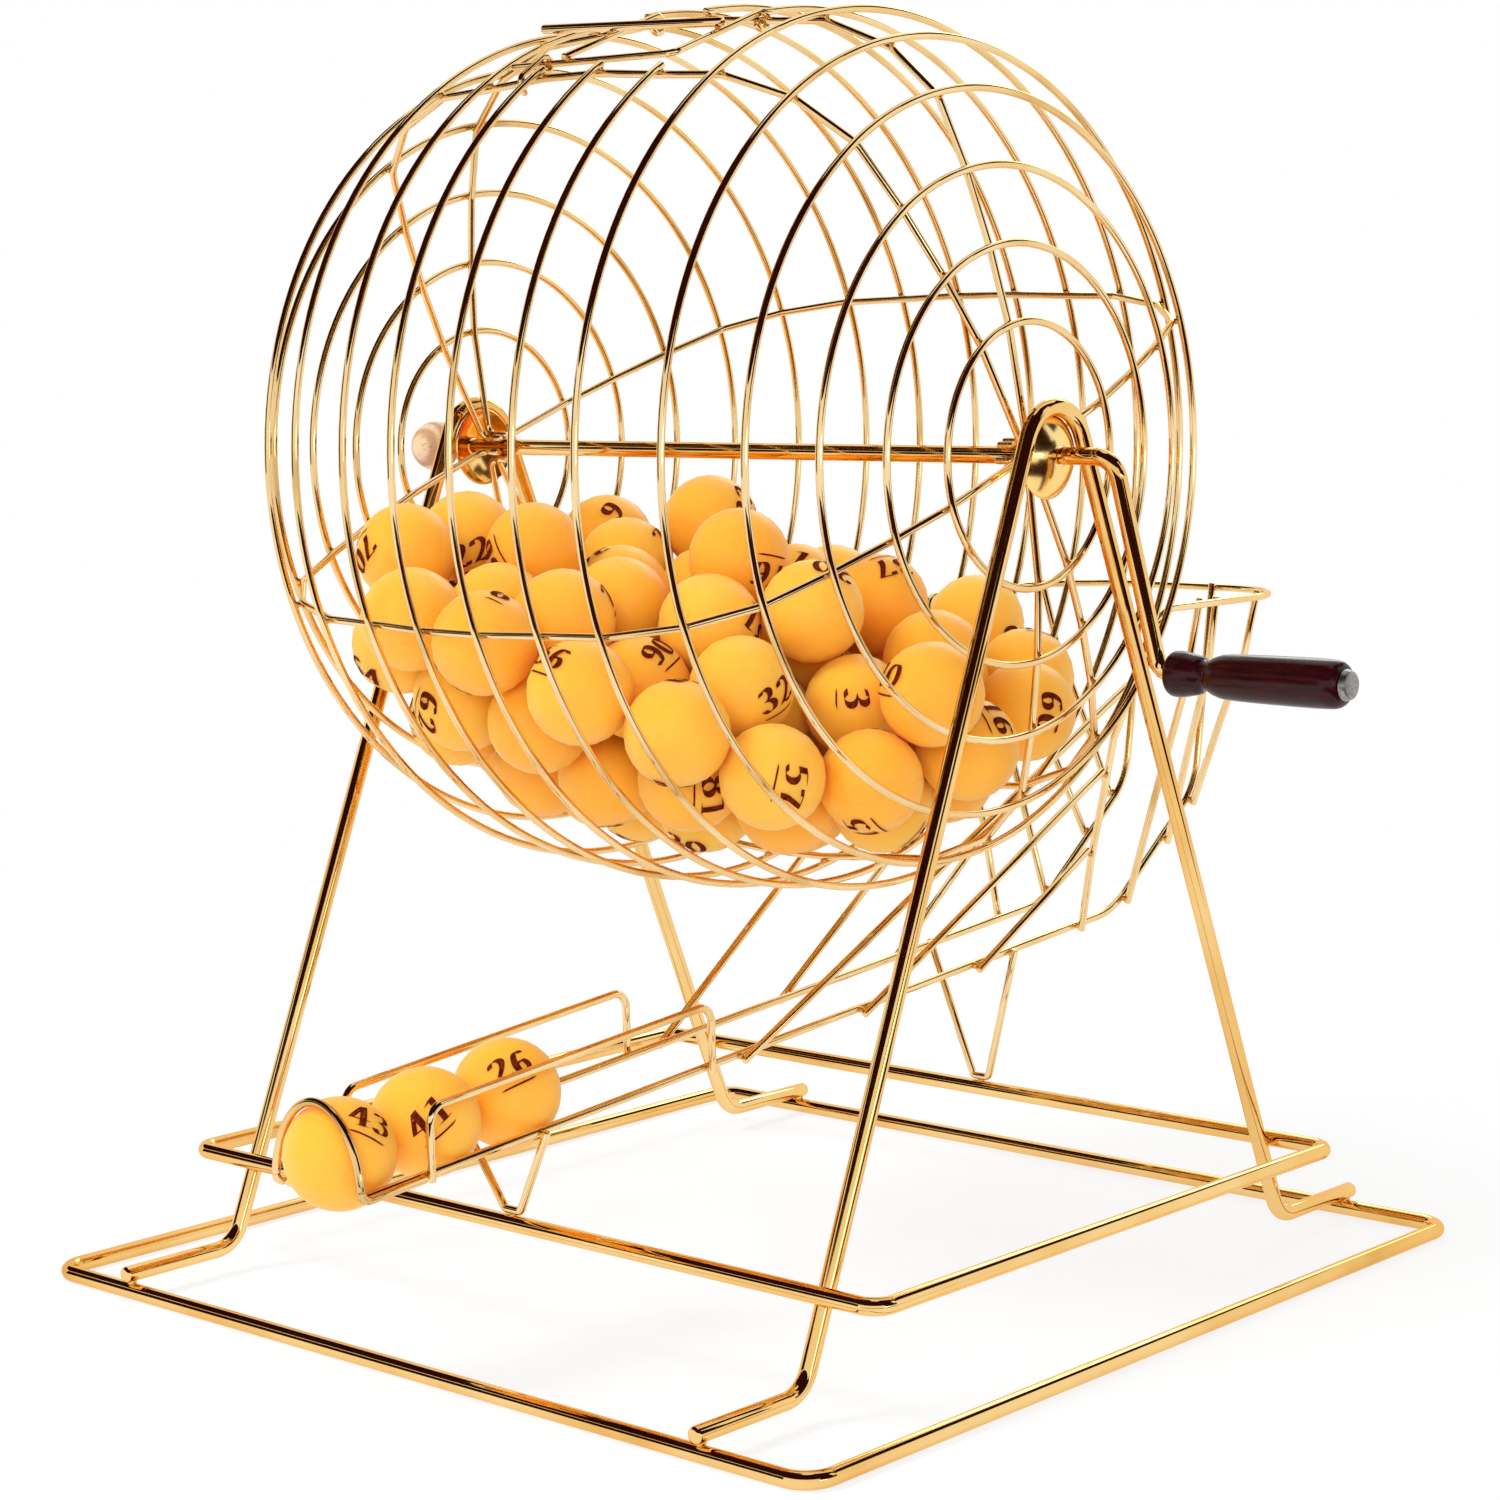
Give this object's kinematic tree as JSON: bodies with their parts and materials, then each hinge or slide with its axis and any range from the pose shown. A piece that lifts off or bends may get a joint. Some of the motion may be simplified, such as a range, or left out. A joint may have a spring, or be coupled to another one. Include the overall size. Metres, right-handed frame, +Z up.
{
  "type": "bingo cage",
  "caption": "Hand cranked wire bingo cage on a bent rod stand, with a hinged door, numbered balls and a sloping ball track with a wire funnel behind the cage.",
  "frame": {"origin": "middle of the object's outline on the table, under the flats of the base rods", "axes": "+X along the cage's axle towards the crank, +Y along the track from its open front end to the funnel behind the cage, +Z up"},
  "size_m": [0.4353, 0.5039, 0.4621],
  "materials": {
    "brassed_steel": "polished brass plating on steel wire",
    "orange_ball": "smooth orange plastic with a printed number",
    "dark_lacquered_wood": "very dark glossy lacquer on turned wood",
    "bare_wood": "plain turned wood, sanded",
    "rivet_steel": "dull steel"
  },
  "bodies": {
    "stand": {"base_frame": "brassed_steel", "upper_frame": "brassed_steel", "a_frame_left": "brassed_steel", "a_frame_right": "brassed_steel", "bearing_cup_left": "brassed_steel", "bearing_cup_right": "brassed_steel", "rail_left": "brassed_steel", "rail_right": "brassed_steel", "ball_stop": "brassed_steel", "guard_left": "brassed_steel", "guard_right": "brassed_steel", "strut_front": "brassed_steel", "strut_back": "brassed_steel", "funnel_rim": "brassed_steel", "funnel_rib_mid_left": "brassed_steel", "funnel_rib_mid_right": "brassed_steel", "funnel_rib_rear_left": "brassed_steel", "funnel_rib_rear_right": "brassed_steel", "funnel_rib_back_left": "brassed_steel", "funnel_rib_back_right": "brassed_steel", "side_wire_front_left": "brassed_steel", "side_wire_front_right": "brassed_steel", "side_wire_mid_left": "brassed_steel", "side_wire_mid_right": "brassed_steel", "side_wire_back_left": "brassed_steel", "side_wire_back_right": "brassed_steel", "ball_heap": "orange_ball"},
    "cage": {"crank_axle": "brassed_steel", "knob": "bare_wood", "grip_rivet": "rivet_steel", "cage_ring_01": "brassed_steel", "cage_ring_02": "brassed_steel", "cage_ring_03": "brassed_steel", "cage_ring_04": "brassed_steel", "cage_ring_05": "brassed_steel", "cage_ring_06": "brassed_steel", "cage_ring_07": "brassed_steel", "cage_ring_08": "brassed_steel", "cage_ring_09": "brassed_steel", "cage_ring_10": "brassed_steel", "cage_ring_11": "brassed_steel", "cage_ring_12": "brassed_steel", "cage_ring_13": "brassed_steel", "cage_ring_14": "brassed_steel", "cage_ring_15": "brassed_steel", "cage_ring_16": "brassed_steel", "cage_wire_1": "brassed_steel", "cage_wire_2": "brassed_steel", "cage_wire_3": "brassed_steel", "cage_wire_4": "brassed_steel", "cage_wire_5": "brassed_steel", "cage_wire_6": "brassed_steel"},
    "grip": {"crank_grip": "dark_lacquered_wood"},
    "door": {"door_frame": "brassed_steel", "door_side": "brassed_steel", "door_bar": "brassed_steel"},
    "latch": {"door_latch": "brassed_steel"},
    "ball_1": {"called_ball_1": "orange_ball"},
    "ball_2": {"called_ball_2": "orange_ball"},
    "ball_3": {"called_ball_3": "orange_ball"}
  },
  "joints": [
    {"name": "cage_spin", "type": "hinge", "parent": "stand", "child": "cage", "pos_m": [-0.02833, -0.02787, 0.303], "axis": [1, 0, 0], "continuous": true},
    {"name": "grip_spin", "type": "hinge", "parent": "cage", "child": "grip", "pos_m": [-0.02833, -0.00727, 0.229], "axis": [1, 0, 0], "continuous": true},
    {"name": "door_hinge", "type": "hinge", "parent": "cage", "child": "door", "pos_m": [-0.04218, -0.05482, 0.45585], "axis": [-0.9991, -0.0074, 0.0421], "range_deg": [0, 160]},
    {"name": "latch_hinge", "type": "hinge", "parent": "door", "child": "latch", "pos_m": [-0.05418, -0.09954, 0.44067], "axis": [-1, 0, 0], "range_deg": [0, 90]},
    {"name": "ball_1_roll", "type": "slide", "parent": "stand", "child": "ball_1", "axis": [0, 0.9963, 0.0864], "range_m": [0, 0.095]},
    {"name": "ball_2_roll", "type": "slide", "parent": "ball_1", "child": "ball_2", "axis": [0, 0.9963, 0.0864], "range_m": [0, 0.095]},
    {"name": "ball_3_roll", "type": "slide", "parent": "ball_2", "child": "ball_3", "axis": [0, 0.9963, 0.0864], "range_m": [0, 0.095]}
  ]
}
